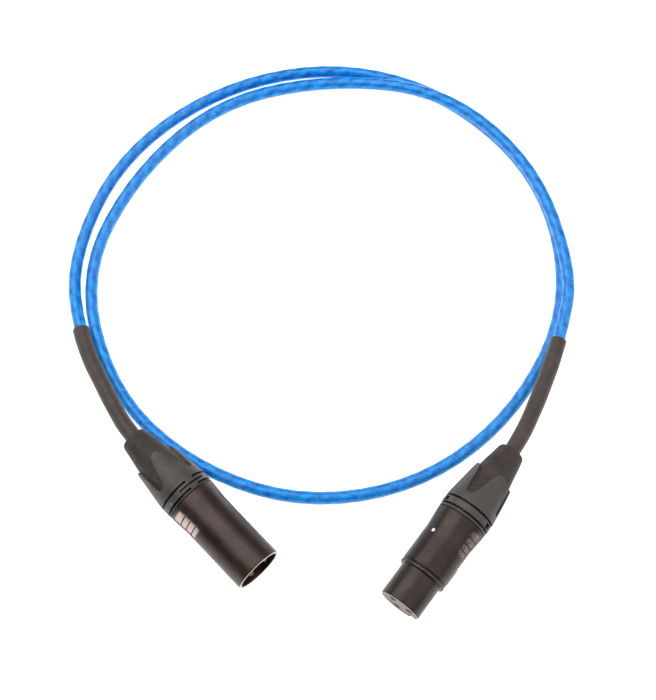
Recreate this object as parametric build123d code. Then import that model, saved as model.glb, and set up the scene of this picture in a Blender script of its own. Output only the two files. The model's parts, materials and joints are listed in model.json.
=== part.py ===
"""A one-metre balanced audio lead, coiled loosely: a plug and a socket connector on one cable.

Millimetres, +Z up, standing on Z = 0 with the origin under the middle of its bounding box.
Each connector is modelled in a frame of its own: +Z points forward out of its mouth, the origin
is at the centre of its front, and X is level once it is placed. A distance called "back" is
measured from that front towards the cable.
"""
import os
from math import asin, cos, pi, radians, sin, tan

from build123d import *

# ---- cable and heat-shrink sleeve ----
CABLE_D = 5.0
SLEEVE_D = 6.4
SLEEVE_SHOWING = 54.0       # length of sleeve outside the boot
JACKET_STRAIGHT = 55.0      # first and last runs of the cable, in line with the connector
WIRE_D = 1.3
WIRE_STRAIGHT = 3.0         # at each end of a wire, before it bends
WIRE_BEND_R = 4.0

# ---- where the cable runs, chosen by hand: X, Y of each corner, from plug to socket ----
LAP_ONE = [
    (-101.5, 23), (-83, 75), (-42.5, 108.5), (7.5, 119.5), (56, 105), (91.5, 64),
    (99, 10.5), (77, -38.5), (39.5, -67), (-6.5, -75), (-49, -59.5), (-80.5, -29),
]
LAP_TWO = [(-95, 17), (-77.5, 67), (-43, 101), (3.5, 112.5)]
OVER_LAP_ONE = [(51.5, 103), (87.5, 68.5), (101.5, 19)]
CROSSING_GAP = CABLE_D      # air between the two laps where the second lies over the first

# ---- connector bodies, shared by plug and socket ----
RIM_R = 9.5                 # front of the plug shell, and the socket's raised ring
SEAM_STEP = 0.45            # the shell widens by this much to where it meets the coding ring
SHELL_BORE_R = 8.5
CONE_LEN = 8.0              # last part of the shell, widening to the seam
RIM_CHAMFER = 0.3
GRIP_PITCH = 2.7            # three short grip grooves on each flank of the shell
GRIP_FROM_SEAM = 7.1        # middle groove, ahead of the seam
GRIP_W = 0.45
GRIP_DEPTH = 0.25
GRIP_HALF_ARC = 20.0

# ---- plug (male) ----
PLUG_SEAM = 36.4            # front to seam
PLUG_BORE_R = 8.4
PLUG_DEPTH = 14.0           # depth of the mouth, to the insert's face
PLUG_LIP = 1.0
PLUG_LIP_R = 7.7
PLUG_INSERT_END = 24.0
PIN_R = 1.2
PIN_SETBACK = 1.0           # pin tip behind the rim
PIN_NECK_R = 1.4            # where the pin passes through the insert
KEY_W = 2.6
KEY_H = 0.85
KEY_LEN = 3.5
CATCH_BACK = 5.2            # recess that the socket's hook snaps into
CATCH_LEN = 3.8
CATCH_W = 4.0
CATCH_DEPTH = 0.7

# ---- socket (female) ----
SOCKET_SEAM = 38.8
NOSE_LEN = 13.6
NOSE_R = 8.2
NOSE_WALL = 0.7
RING_W = 1.1                # raised ring behind the nose
RING_GROOVE_W = 0.6
RING_GROOVE_DEPTH = 0.4
BARREL_STEP = 0.15          # barrel below the raised ring
SOCKET_INSERT_END = 21.0
FACE_SETBACK = 0.3
SOCKET_BORE_R = 1.22
SOCKET_WALL = 0.38
SOCKET_DEPTH = 13.0
SLIT_W = 0.3
SLIT_LEN = 5.0

# ---- contacts ----
CONTACT_CIRCLE_R = 4.3
CONTACT_FROM_KEY = 62.0     # contacts 1 and 2 lie this far either side of the key, 3 opposite it
CONTACT_BODY_R = 1.6
CONTACT_BODY_BACK = 18.0
CUP_BORE_R = 0.8
CUP_DEPTH = 3.5
CUP_STANDS_OUT = 2.5        # solder cup behind the insert
SOLDER_DEPTH = 3.0
CLIP_W = 1.5                # ground clip between shell and contact 1
CLIP_T = 0.4
CLIP_TAB_W = 1.6
CLIP_OPEN_HALF_ARC = 32.0

# ---- latch of the socket ----
LATCH_W = 3.0
LATCH_T = 0.8
LATCH_R = 7.0               # underside of the lever
HOOK_BACK = 5.2
HOOK_LEN = 2.8
HOOK_R = 9.0
BUTTON_BACK = 16.5
BUTTON_LEN = 8.0
BUTTON_W = 6.0
BUTTON_R = 9.8
BUTTON_EDGE = 0.6
PIVOT_BACK = 29.5
PIVOT_R = 7.4
PIVOT_PIN_R = 0.5
EYE_R = 0.9
EAR_W = 1.2
CHANNEL_R = 5.3             # floor of the latch's channel in the insert
LEAF_T = 0.25
LEAF_W = 2.4
LEAF_LEN = 8.0

# ---- cable end of a connector, measured back from the seam ----
THREAD_LEN = 6.5
THREAD_WALL = 1.5
FLANGE_STEP = 0.4           # flange, ring and bushing, each wider than the rim by this much
RING_STEP = 0.65
BUSHING_STEP = 0.8
FLANGE_W = 1.3
RING_SPACE = 4.2            # room for the coding ring between flange and bushing
RING_FLOOR_R = 8.9
FINGER_TIP_R = 7.95
FINGER_LEN = 16.0
FINGER_T = 1.6
FINGER_TIP_HALF_W = 2.3
FINGER_BASE_HALF_W = 5.8
FINGERS = 4
WINDOW_FLOOR = 4.0
TAIL_LEN = 28.5             # bushing's front edge to the end of the boot
BOOT_INSET = 0.35           # boot below the surface of the fingers
BOOT_END_R = 5.2
BOOT_EDGE = 1.2
CONE_START = 2.0
CONE_END = 12.0
CONE_END_R = 4.5
CHUCK_BORE_R = 5.2
CHUCK_FLANGE_W = 1.2
CHUCK_GRIP_START = 6.5
CHUCK_SLOT_W = 1.2
JACKET_END = 5.0
SLEEVE_START = 16.0
RING_GAP_W = 3.6
RING_NOTCH_W = 2.6
RING_NOTCH_LEN = 1.5
RING_NOTCH_ANGLE = 63.0
RING_NOTCH_DEPTH = 0.8
RING_SLOT_W = 0.5
RING_SLOT_HALF_ARC = 34.0

# ---- clearances ----
SLIP = 0.1                  # between parts that slide into each other
SNUG = 0.05                 # between contacts and insert
PIVOT_SLIP = 0.03
LATCH_SIDE = 0.3            # each side of the latch in its slot
BUTTON_SIDE = 0.35
SEAT = 0.05                 # between faces that stop against each other
HELD_SLIP = 0.02            # between a small part and the one that holds it
BITE = 0.5                  # how far a block runs into the body that it joins

# ---- placing: X, Y of the front centre, heading in plan, angles about the axis ----
PLUG_FRONT = (-22.1, -101.6)
PLUG_HEADING = -46.1
PLUG_KEY = 55.0
PLUG_FINGER = 85.0
PLUG_RING_GAP = 71.0
SOCKET_FRONT = (29.0, -114.5)
SOCKET_HEADING = -127.0
SOCKET_KEY = -42.0
SOCKET_FINGER = 64.0
SOCKET_RING_GAP = 269.0

# ---- sizes that follow from the ones above ----
SEAM_R = RIM_R + SEAM_STEP
BARREL_R = RIM_R - BARREL_STEP
FLANGE_R = RIM_R + FLANGE_STEP
RING_R = RIM_R + RING_STEP
BUSHING_R = RIM_R + BUSHING_STEP
CABLE_R = CABLE_D / 2
SLEEVE_R = SLEEVE_D / 2
RING_END = FLANGE_W + RING_SPACE
TAIL_END = RING_END + TAIL_LEN
FINGER_START = RING_END + WINDOW_FLOOR
FINGER_END = RING_END + FINGER_LEN
BOOT_BORE_R = SLEEVE_R + SLIP
THREAD_R = SHELL_BORE_R - SLIP
THREAD_BORE_R = THREAD_R - THREAD_WALL
CHUCK_R = THREAD_BORE_R - SLIP
CHUCK_FRONT = THREAD_LEN + SLIP + CHUCK_FLANGE_W


# ---------------------------------------------------------------- helpers

def turned(*outline):
    """Solid of revolution about Z from a closed outline of (radius, distance back)."""
    points = [(radius, -back) for radius, back in outline]
    return revolve(Plane.XZ * make_face(Polyline(*points, close=True)), Axis.Z)


def ring(back, length, outer, inner):
    """Plain ring, or a disc where the inner radius is 0."""
    return turned((inner, back), (outer, back), (outer, back + length), (inner, back + length))


def rod(x, y, back, length, radius):
    """Cylinder parallel to the axis."""
    return Pos(x, y, -back - length / 2) * Cylinder(radius, length)


def flank(angle, back, length, width, inner, outer):
    """Box that stands out radially at an angle, from the inner to the outer radius."""
    block = Box(outer - inner, width, length)
    return Rot(0, 0, angle) * Pos((inner + outer) / 2, 0, -back - length / 2) * block


def wedge(angle, half_arc, back, length, outer):
    """Sector of a disc, centred on an angle."""
    corners = [(0, 0)]
    corners += [
        (outer * cos(radians(angle + turn)), outer * sin(radians(angle + turn)))
        for turn in (-half_arc, 0, half_arc)
    ]
    return Pos(0, 0, -back - length) * extrude(make_face(Polyline(*corners, close=True)), length)


def on_circle(angle, radius=CONTACT_CIRCLE_R):
    return radius * cos(radians(angle)), radius * sin(radians(angle))


def contact_angles(key, order):
    """Angles of contacts 1, 2 and 3: order is +1 seen into the plug, -1 into the socket."""
    return key + order * CONTACT_FROM_KEY, key - order * CONTACT_FROM_KEY, key + 180


def side_profile(key, width, outline):
    """Bar with an outline of (distance back, radius), across the plane through the key."""
    points = [(radius, -back) for back, radius in outline]
    bar = extrude(Plane.XZ * make_face(Polyline(*points, close=True)), width / 2, both=True)
    return Rot(0, 0, key) * bar


def grip_grooves(key, seam, radius_at):
    """Three short grooves on each flank, a quarter turn from the key."""
    cuts = []
    for side in (key + 90, key - 90):
        for row in (-1, 0, 1):
            back = seam - GRIP_FROM_SEAM + row * GRIP_PITCH
            surface = radius_at(back)
            band = ring(back - GRIP_W / 2, GRIP_W, surface + 1, surface - GRIP_DEPTH)
            cuts.append(band & wedge(side, GRIP_HALF_ARC, back - 1, 2, 2 * surface))
    return cuts


# ---------------------------------------------------------------- plug

def plug_radius(back):
    """Outside of the plug shell."""
    start = PLUG_SEAM - CONE_LEN
    return RIM_R + max(0, back - start) * (SEAM_R - RIM_R) / CONE_LEN


def plug_shell():
    lip_end = PLUG_DEPTH + PLUG_LIP
    body = turned(
        (PLUG_BORE_R, 0), (RIM_R - RIM_CHAMFER, 0), (RIM_R, RIM_CHAMFER),
        (RIM_R, PLUG_SEAM - CONE_LEN), (SEAM_R, PLUG_SEAM), (SHELL_BORE_R, PLUG_SEAM),
        (SHELL_BORE_R, lip_end), (PLUG_LIP_R, lip_end), (PLUG_LIP_R, PLUG_DEPTH),
        (PLUG_BORE_R, PLUG_DEPTH),
    )
    inside = PLUG_BORE_R - KEY_H
    key_rib = flank(PLUG_KEY, PLUG_DEPTH - KEY_LEN, KEY_LEN, KEY_W, inside, PLUG_BORE_R + BITE)
    catch = flank(
        PLUG_KEY, CATCH_BACK, CATCH_LEN, CATCH_W, PLUG_BORE_R - 1, PLUG_BORE_R + CATCH_DEPTH
    )
    return body + key_rib - catch - grip_grooves(PLUG_KEY, PLUG_SEAM, plug_radius)


def insert_holes(angles, front_r, rear_r, step, end):
    """Stepped hole for each contact, right through an insert."""
    holes = []
    for angle in angles:
        x, y = on_circle(angle)
        holes.append(rod(x, y, -1, step + 1, front_r))
        holes.append(rod(x, y, step, end - step + 1, rear_r))
    return holes


def plug_insert():
    seat = PLUG_DEPTH + PLUG_LIP + SEAT
    body = ring(PLUG_DEPTH, seat - PLUG_DEPTH, PLUG_LIP_R - SLIP, 0)
    body += ring(seat, PLUG_INSERT_END - seat, SHELL_BORE_R - SLIP, 0)
    angles = contact_angles(PLUG_KEY, 1)
    return body - insert_holes(
        angles, PIN_NECK_R + SNUG, CONTACT_BODY_R + SNUG, CONTACT_BODY_BACK, PLUG_INSERT_END
    )


def solder_cup(x, y, end):
    """The hollow at the back of a contact."""
    return rod(x, y, end - CUP_DEPTH, CUP_DEPTH + 1, CUP_BORE_R)


def plug_pin(angle):
    x, y = on_circle(angle)
    end = PLUG_INSERT_END + CUP_STANDS_OUT
    nose = Pos(x, y, -PIN_SETBACK - PIN_R) * Sphere(PIN_R)
    neck_start = PLUG_DEPTH + SEAT
    shaft = rod(x, y, PIN_SETBACK + PIN_R, neck_start - PIN_SETBACK - PIN_R, PIN_R)
    neck = rod(x, y, neck_start, CONTACT_BODY_BACK - neck_start, PIN_NECK_R)
    back = rod(x, y, CONTACT_BODY_BACK, end - CONTACT_BODY_BACK, CONTACT_BODY_R)
    return nose + shaft + neck + back - solder_cup(x, y, end)


# ---------------------------------------------------------------- socket

RING_BACK = NOSE_LEN + RING_W
BARREL_BACK = RING_BACK + RING_GROOVE_W
SHOULDER = NOSE_LEN + NOSE_WALL
NOSE_BORE_R = NOSE_R - NOSE_WALL
LATCH_TOP = LATCH_R + LATCH_T
SLOT_W = LATCH_W + 2 * LATCH_SIDE


def socket_radius(back):
    """Outside of the socket's barrel."""
    start = SOCKET_SEAM - CONE_LEN
    return BARREL_R + max(0, back - start) * (SEAM_R - BARREL_R) / CONE_LEN


def socket_shell():
    groove_r = RIM_R - RING_GROOVE_DEPTH
    body = turned(
        (NOSE_BORE_R, 0), (NOSE_R - RIM_CHAMFER, 0), (NOSE_R, RIM_CHAMFER), (NOSE_R, NOSE_LEN),
        (RIM_R - RIM_CHAMFER, NOSE_LEN), (RIM_R, NOSE_LEN + RIM_CHAMFER),
        (RIM_R, RING_BACK), (groove_r, RING_BACK), (groove_r, BARREL_BACK),
        (BARREL_R, BARREL_BACK), (BARREL_R, SOCKET_SEAM - CONE_LEN), (SEAM_R, SOCKET_SEAM),
        (SHELL_BORE_R, SOCKET_SEAM), (SHELL_BORE_R, SHOULDER), (NOSE_BORE_R, SHOULDER),
    )
    nose_slot = flank(SOCKET_KEY, -1, SHOULDER + 2, SLOT_W, LATCH_R - 1, NOSE_R + SLIP)
    window = flank(
        SOCKET_KEY, BUTTON_BACK - BUTTON_SIDE, BUTTON_LEN + 2 * BUTTON_SIDE,
        BUTTON_W + 2 * BUTTON_SIDE, LATCH_R, BUTTON_R + 2,
    )
    return body - nose_slot - window - grip_grooves(SOCKET_KEY, SOCKET_SEAM, socket_radius)


def socket_insert():
    """Insulator, with the latch's channel and the two ears that hold its pivot pin."""
    seat = SHOULDER + SEAT
    ear_end = PIVOT_BACK + EYE_R + SLIP
    body_r = SHELL_BORE_R - SLIP
    body = ring(FACE_SETBACK, seat - FACE_SETBACK, NOSE_BORE_R - SLIP, 0)
    body += ring(seat, SOCKET_INSERT_END - seat, body_r, 0)
    block = flank(
        SOCKET_KEY, SOCKET_INSERT_END - 1, ear_end - SOCKET_INSERT_END + 1,
        SLOT_W + 2 * EAR_W, CHANNEL_R - 1, body_r + 1,
    )
    body += block & ring(SOCKET_INSERT_END - 1, ear_end, body_r, 0)
    channel = flank(SOCKET_KEY, -1, ear_end + 2, SLOT_W, CHANNEL_R, body_r + 1)
    pocket = flank(
        SOCKET_KEY, BUTTON_BACK - BUTTON_SIDE, BUTTON_LEN + 2 * BUTTON_SIDE,
        BUTTON_W + 2 * BUTTON_SIDE, LATCH_R - SLIP, body_r + 1,
    )
    hole = pivot_rod(PIVOT_PIN_R + HELD_SLIP, 4 * BUTTON_W)
    holes = [
        rod(*on_circle(angle), -1, SOCKET_INSERT_END + 2, CONTACT_BODY_R + SNUG)
        for angle in contact_angles(SOCKET_KEY, -1)
    ]
    return body - channel - pocket - hole - holes


def socket_contact(angle):
    x, y = on_circle(angle)
    start = FACE_SETBACK + SEAT
    end = SOCKET_INSERT_END + CUP_STANDS_OUT
    tube = rod(x, y, start, end - start, SOCKET_BORE_R + SOCKET_WALL)
    slit = Box(4 * CONTACT_BODY_R, SLIT_W, SLIT_LEN)
    tube -= Pos(x, y, -start - SLIT_LEN / 2) * Rot(0, 0, angle) * slit
    bore = rod(x, y, start - 1, SOCKET_DEPTH + 1, SOCKET_BORE_R)
    return tube - bore - solder_cup(x, y, end)


def pivot_rod(radius, length):
    """Rod across the latch, on its pivot's line."""
    across = Rot(90, 0, 0) * Cylinder(radius, length)
    return Rot(0, 0, SOCKET_KEY) * Pos(PIVOT_R, 0, -PIVOT_BACK) * across


def latch_pin():
    return pivot_rod(PIVOT_PIN_R, SLOT_W + 2 * EAR_W - 2 * SLIP)


def latch():
    """One lever: hook in front, push button behind it, and the pivot's eye at the back."""
    hook_end = HOOK_BACK + HOOK_LEN
    lever = side_profile(SOCKET_KEY, LATCH_W, [
        (HOOK_BACK, LATCH_R), (HOOK_BACK, LATCH_TOP), (hook_end - BUTTON_EDGE, HOOK_R),
        (hook_end, HOOK_R), (hook_end, LATCH_TOP), (PIVOT_BACK, LATCH_TOP),
        (PIVOT_BACK, LATCH_R),
    ])
    button = side_profile(SOCKET_KEY, BUTTON_W, [
        (BUTTON_BACK, LATCH_TOP), (BUTTON_BACK, BUTTON_R - BUTTON_EDGE),
        (BUTTON_BACK + BUTTON_EDGE, BUTTON_R),
        (BUTTON_BACK + BUTTON_LEN - BUTTON_EDGE, BUTTON_R),
        (BUTTON_BACK + BUTTON_LEN, BUTTON_R - BUTTON_EDGE),
        (BUTTON_BACK + BUTTON_LEN, LATCH_TOP),
    ])
    eye = pivot_rod(EYE_R, LATCH_W)
    return lever + button + eye - pivot_rod(PIVOT_PIN_R + PIVOT_SLIP, 2 * LATCH_W)


def latch_leaf():
    """Bowed leaf spring on the channel's floor, with its crown under the button."""
    middle = BUTTON_BACK + BUTTON_LEN / 2
    floor = CHANNEL_R + LEAF_T / 5
    crown = LATCH_R - SLIP
    ends = middle - LEAF_LEN / 2, middle + LEAF_LEN / 2
    top = ThreePointArc((floor + LEAF_T, -ends[0]), (crown, -middle), (floor + LEAF_T, -ends[1]))
    under = ThreePointArc((floor, -ends[0]), (crown - LEAF_T, -middle), (floor, -ends[1]))
    outline = [top, Line(top @ 1, under @ 1), under, Line(under @ 0, top @ 0)]
    bow = extrude(Plane.XZ * make_face(outline), LEAF_W / 2, both=True)
    return Rot(0, 0, SOCKET_KEY) * bow


# ---------------------------------------------------------------- cable end, both connectors

def finger_radius(after_seam):
    """Outside of the bushing and its fingers."""
    slope = (FINGER_TIP_R - BUSHING_R) / FINGER_LEN
    return BUSHING_R + slope * (after_seam - RING_END)


def finger(angle, seam):
    """Outline of one rounded finger, cut out along its own radius."""
    start = seam + FINGER_START
    length = FINGER_END - FINGER_START
    base, tip = FINGER_BASE_HALF_W, FINGER_TIP_HALF_W
    sides = Polyline((tip, tip - length), (base, 0), (-base, 0), (-tip, tip - length))
    end = ThreePointArc((-tip, tip - length), (0, -length), (tip, tip - length))
    across = (-sin(radians(angle)), cos(radians(angle)), 0)
    outward = (cos(radians(angle)), sin(radians(angle)), 0)
    plane = Plane(origin=(0, 0, -start), x_dir=across, z_dir=outward)
    return extrude(plane * make_face([sides, end]), 2 * BUSHING_R)


def bushing(seam, first_finger, ring_gap):
    """Screws into the shell, carries the coding ring and holds the boot with its fingers."""
    at = finger_radius
    core = turned(
        (THREAD_BORE_R, seam - THREAD_LEN), (THREAD_R, seam - THREAD_LEN),
        (THREAD_R, seam + SEAT), (FLANGE_R, seam + SEAT), (FLANGE_R, seam + FLANGE_W),
        (RING_FLOOR_R, seam + FLANGE_W), (RING_FLOOR_R, seam + RING_END),
        (BUSHING_R, seam + RING_END), (at(FINGER_START), seam + FINGER_START),
        (at(FINGER_START) - FINGER_T, seam + FINGER_START),
        (at(CONE_END) - FINGER_T, seam + CONE_END), (CONE_END_R, seam + CONE_END),
        (THREAD_BORE_R, seam + CONE_START),
    )
    collar = turned(
        (at(FINGER_START) - FINGER_T, seam + FINGER_START),
        (at(FINGER_START), seam + FINGER_START), (FINGER_TIP_R, seam + FINGER_END),
        (FINGER_TIP_R - FINGER_T, seam + FINGER_END),
    )
    tab = flank(
        ring_gap, seam + FLANGE_W - SEAT, RING_SPACE + 2 * SEAT, RING_GAP_W - 2 * SLIP,
        RING_FLOOR_R - BITE, RING_R,
    )
    body = core + tab
    for number in range(FINGERS):
        body += collar & finger(first_finger + number * 360 / FINGERS, seam)
    return body


def boot(seam, its_bushing):
    """Soft boot: fills the windows between the fingers and tapers on to the cable."""
    rim_r = finger_radius(FINGER_START) - BOOT_INSET
    under_r = finger_radius(CONE_END) - 2 * FINGER_T
    blank = turned(
        (under_r, seam + FINGER_START), (rim_r, seam + FINGER_START),
        (FINGER_TIP_R - BOOT_INSET, seam + FINGER_END),
        (BOOT_END_R, seam + TAIL_END - BOOT_EDGE), (BOOT_END_R - BOOT_EDGE, seam + TAIL_END),
        (BOOT_BORE_R, seam + TAIL_END), (BOOT_BORE_R, seam + CONE_END),
        (under_r, seam + CONE_END),
    )
    return blank - its_bushing


def coding_ring(seam, gap):
    """Split ring in the bushing's groove, with two notches and a slot for a fingernail."""
    start = seam + FLANGE_W + SEAT
    length = RING_SPACE - 2 * SEAT
    band = ring(start, length, RING_R, RING_FLOOR_R + SNUG)
    band -= flank(gap, start - 1, length + 2, RING_GAP_W, 0, 2 * RING_R)
    for side in (-1, 1):
        notch_at = gap + 180 + side * RING_NOTCH_ANGLE
        back = start + (length - RING_NOTCH_LEN) / 2
        floor = RING_R - RING_NOTCH_DEPTH
        band -= flank(notch_at, back, RING_NOTCH_LEN, RING_NOTCH_W, floor, RING_R + 1)
    slot_back = start + (length - RING_SLOT_W) / 2
    slot = ring(slot_back, RING_SLOT_W, RING_R + 1, RING_R - RING_SLOT_W)
    return band - (slot & wedge(gap, RING_SLOT_HALF_ARC, slot_back - 1, 3, 2 * RING_R))


def chuck(seam):
    """Collet: the bushing's cone closes its four jaws on the cable."""
    grip_r = CABLE_R + SLIP
    body = turned(
        (CHUCK_BORE_R, seam - CHUCK_FRONT), (SHELL_BORE_R - SLIP, seam - CHUCK_FRONT),
        (SHELL_BORE_R - SLIP, seam - THREAD_LEN - SLIP), (CHUCK_R, seam - THREAD_LEN - SLIP),
        (CHUCK_R, seam + CONE_START), (CONE_END_R - SLIP, seam + CONE_END),
        (grip_r, seam + CONE_END), (grip_r, seam + CHUCK_GRIP_START),
        (CHUCK_BORE_R, seam + CHUCK_GRIP_START - CHUCK_BORE_R + grip_r),
    )
    slots = [
        flank(angle, seam, CONE_END + 1, CHUCK_SLOT_W, 0, 2 * CHUCK_R)
        for angle in (45, 135, 225, 315)
    ]
    return body - slots


def ground_clip(insert_end, key, contact_angle):
    """Split spring ring that joins the shell to contact 1 through a tab."""
    start = insert_end + SEAT
    outer = SHELL_BORE_R - SNUG
    band = ring(start, CLIP_W, outer, outer - CLIP_T)
    band -= wedge(key, CLIP_OPEN_HALF_ARC, start - 1, CLIP_W + 2, 2 * outer)
    reach = CONTACT_CIRCLE_R + CONTACT_BODY_R + SNUG
    return band + flank(contact_angle, start, CLIP_W, CLIP_TAB_W, reach, outer - CLIP_T / 2)


def wire(angle, cup_end, jacket_end):
    """Insulated core from the cable's cut end, and its soldered tip inside a contact's cup."""
    x0, y0 = on_circle(angle, WIRE_D)
    x1, y1 = on_circle(angle)
    path = FilletPolyline(
        (x0, y0, -jacket_end), (x0, y0, -jacket_end + WIRE_STRAIGHT),
        (x1, y1, -cup_end - WIRE_STRAIGHT), (x1, y1, -cup_end), radius=WIRE_BEND_R,
    )
    solder = rod(x1, y1, cup_end - SOLDER_DEPTH, SOLDER_DEPTH, CUP_BORE_R - HELD_SLIP)
    return tube(path, WIRE_D / 2) + solder


# ---------------------------------------------------------------- placing

def placed(front, heading, rest_back, seam):
    """Frame of a connector lying on its front ring and on the bushing's widest edge."""
    nose_down = asin((BUSHING_R - RIM_R) / (seam + RING_END - rest_back))
    height = RIM_R * cos(nose_down) - rest_back * sin(nose_down)
    level = cos(nose_down)
    turn = radians(heading)
    forward = (cos(turn) * level, sin(turn) * level, -sin(nose_down))
    across = (-sin(turn), cos(turn), 0)
    return Plane(origin=(*front, height), x_dir=across, z_dir=forward)


PLUG = placed(PLUG_FRONT, PLUG_HEADING, RIM_CHAMFER, PLUG_SEAM)
SOCKET = placed(SOCKET_FRONT, SOCKET_HEADING, NOSE_LEN + RIM_CHAMFER, SOCKET_SEAM)


def on_axis(frame, back):
    return frame.from_local_coords(Vector(0, 0, -back))


# ---------------------------------------------------------------- cable

def cable_route():
    """Corners of the cable's path, from inside the plug to inside the socket."""
    over = CABLE_R + CABLE_D + CROSSING_GAP
    route = [
        on_axis(PLUG, PLUG_SEAM + JACKET_END),
        on_axis(PLUG, PLUG_SEAM + JACKET_END + JACKET_STRAIGHT),
    ]
    route += [Vector(x, y, CABLE_R) for x, y in LAP_ONE + LAP_TWO]
    route += [Vector(x, y, over) for x, y in OVER_LAP_ONE]
    route += [
        on_axis(SOCKET, SOCKET_SEAM + JACKET_END + JACKET_STRAIGHT),
        on_axis(SOCKET, SOCKET_SEAM + JACKET_END),
    ]
    return route


def corner_radius(before, corner, after):
    """As large an arc as its two runs allow: it takes 0.45 of the shorter one."""
    arriving, leaving = corner - before, after - corner
    turn = radians(arriving.get_angle(leaving))
    return 0.45 * min(arriving.length, leaving.length) / tan(turn / 2)


def path_through(route, radii):
    return FilletPolyline(*[tuple(point) for point in route], radius=radii)


def tube(path, outer, inner=0):
    """Round tube along a path that starts in a straight run."""
    start = Plane(origin=path @ 0, z_dir=path % 0)
    solid = sweep(start * Circle(outer), path)
    if inner:
        solid -= sweep(start * Circle(inner), path)
    return solid


def cable():
    route = cable_route()
    radii = [corner_radius(*route[i - 1:i + 2]) for i in range(1, len(route) - 1)]
    path = path_through(route, radii)
    solid = tube(path, CABLE_R)
    runs = [(b - a).length for a, b in zip(route, route[1:])]
    print("cable runs", [round(run) for run in runs])
    print("cable radii", [round(radius) for radius in radii])
    print("cable length", round(path.length, 1), "volume / (section * length)",
          round(solid.volume / (pi * CABLE_R ** 2 * path.length), 5))
    return solid


def sleeve(frame, seam, corner, following):
    """Heat-shrink sleeve on the cable, from inside the boot to past its first bend."""
    start = on_axis(frame, seam + SLEEVE_START)
    inside_boot = on_axis(frame, seam + JACKET_END)
    radius = corner_radius(inside_boot, corner, following)
    turn = radians((corner - inside_boot).get_angle(following - corner))
    tangent = radius * tan(turn / 2)
    to_arc = JACKET_STRAIGHT - tangent - (TAIL_END - JACKET_END)
    past_arc = SLEEVE_SHOWING - to_arc - radius * turn
    end = corner + (following - corner).normalized() * (tangent + past_arc)
    path = path_through([start, corner, end], [radius])
    return tube(path, SLEEVE_R, CABLE_R + SLIP)


# ---------------------------------------------------------------- assembly

def connector_rear(name, frame, seam, first_finger, ring_gap):
    """The parts that both connectors share, at the cable end."""
    its_bushing = bushing(seam, first_finger, ring_gap)
    return {
        f"{name}_bushing": frame.location * its_bushing,
        f"{name}_boot": frame.location * boot(seam, its_bushing),
        f"{name}_coding_ring": frame.location * coding_ring(seam, ring_gap),
        f"{name}_chuck": frame.location * chuck(seam),
    }


def wires(name, frame, seam, angles, insert_end):
    cup_end = insert_end + CUP_STANDS_OUT
    jacket_end = seam + JACKET_END - SEAT
    return {
        f"{name}_wire_{number}": frame.location * wire(angle, cup_end, jacket_end)
        for number, angle in enumerate(angles, 1)
    }


def assembly():
    nodes = {}
    angles = contact_angles(PLUG_KEY, 1)
    nodes["plug_shell"] = PLUG.location * plug_shell()
    nodes["plug_insert"] = PLUG.location * plug_insert()
    for number, angle in enumerate(angles, 1):
        nodes[f"plug_pin_{number}"] = PLUG.location * plug_pin(angle)
    clip = ground_clip(PLUG_INSERT_END, PLUG_KEY, angles[0])
    nodes["plug_ground_clip"] = PLUG.location * clip
    nodes |= connector_rear("plug", PLUG, PLUG_SEAM, PLUG_FINGER, PLUG_RING_GAP)
    nodes |= wires("plug", PLUG, PLUG_SEAM, angles, PLUG_INSERT_END)

    angles = contact_angles(SOCKET_KEY, -1)
    nodes["socket_shell"] = SOCKET.location * socket_shell()
    nodes["socket_insert"] = SOCKET.location * socket_insert()
    for number, angle in enumerate(angles, 1):
        nodes[f"socket_contact_{number}"] = SOCKET.location * socket_contact(angle)
    clip = ground_clip(SOCKET_INSERT_END, SOCKET_KEY, angles[0])
    nodes["socket_ground_clip"] = SOCKET.location * clip
    nodes["socket_latch"] = SOCKET.location * latch()
    nodes["socket_latch_pin"] = SOCKET.location * latch_pin()
    nodes["socket_latch_spring"] = SOCKET.location * latch_leaf()
    nodes |= connector_rear("socket", SOCKET, SOCKET_SEAM, SOCKET_FINGER, SOCKET_RING_GAP)
    nodes |= wires("socket", SOCKET, SOCKET_SEAM, angles, SOCKET_INSERT_END)

    route = cable_route()
    nodes["cable_jacket"] = cable()
    nodes["plug_sleeve"] = sleeve(PLUG, PLUG_SEAM, route[1], route[2])
    nodes["socket_sleeve"] = sleeve(SOCKET, SOCKET_SEAM, route[-2], route[-3])
    return nodes


os.makedirs("parts", exist_ok=True)
for node, shape in assembly().items():
    export_step(shape, f"parts/{node}.step")
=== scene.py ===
import json
from math import cos, pi, radians, sin

import bmesh
import bpy
import numpy as np
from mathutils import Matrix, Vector


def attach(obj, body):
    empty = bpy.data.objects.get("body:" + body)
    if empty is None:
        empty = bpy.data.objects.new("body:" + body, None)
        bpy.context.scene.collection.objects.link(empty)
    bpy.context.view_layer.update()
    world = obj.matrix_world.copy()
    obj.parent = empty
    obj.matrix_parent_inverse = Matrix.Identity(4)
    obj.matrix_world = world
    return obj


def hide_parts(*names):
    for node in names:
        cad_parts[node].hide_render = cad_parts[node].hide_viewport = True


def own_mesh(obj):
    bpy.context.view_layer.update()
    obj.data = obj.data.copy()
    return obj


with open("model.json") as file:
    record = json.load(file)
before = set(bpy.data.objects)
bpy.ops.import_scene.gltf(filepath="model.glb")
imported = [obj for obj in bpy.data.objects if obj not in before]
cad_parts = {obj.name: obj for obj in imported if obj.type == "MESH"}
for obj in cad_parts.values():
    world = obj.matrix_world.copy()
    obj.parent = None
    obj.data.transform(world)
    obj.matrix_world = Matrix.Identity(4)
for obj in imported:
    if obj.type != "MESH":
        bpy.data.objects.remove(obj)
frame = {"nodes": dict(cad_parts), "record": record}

MM = 0.001
record = frame["record"]
nodes = frame["nodes"]
scene = bpy.context.scene
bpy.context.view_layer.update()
mount = {m["name"]: m for m in record["mounts"]}

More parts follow.
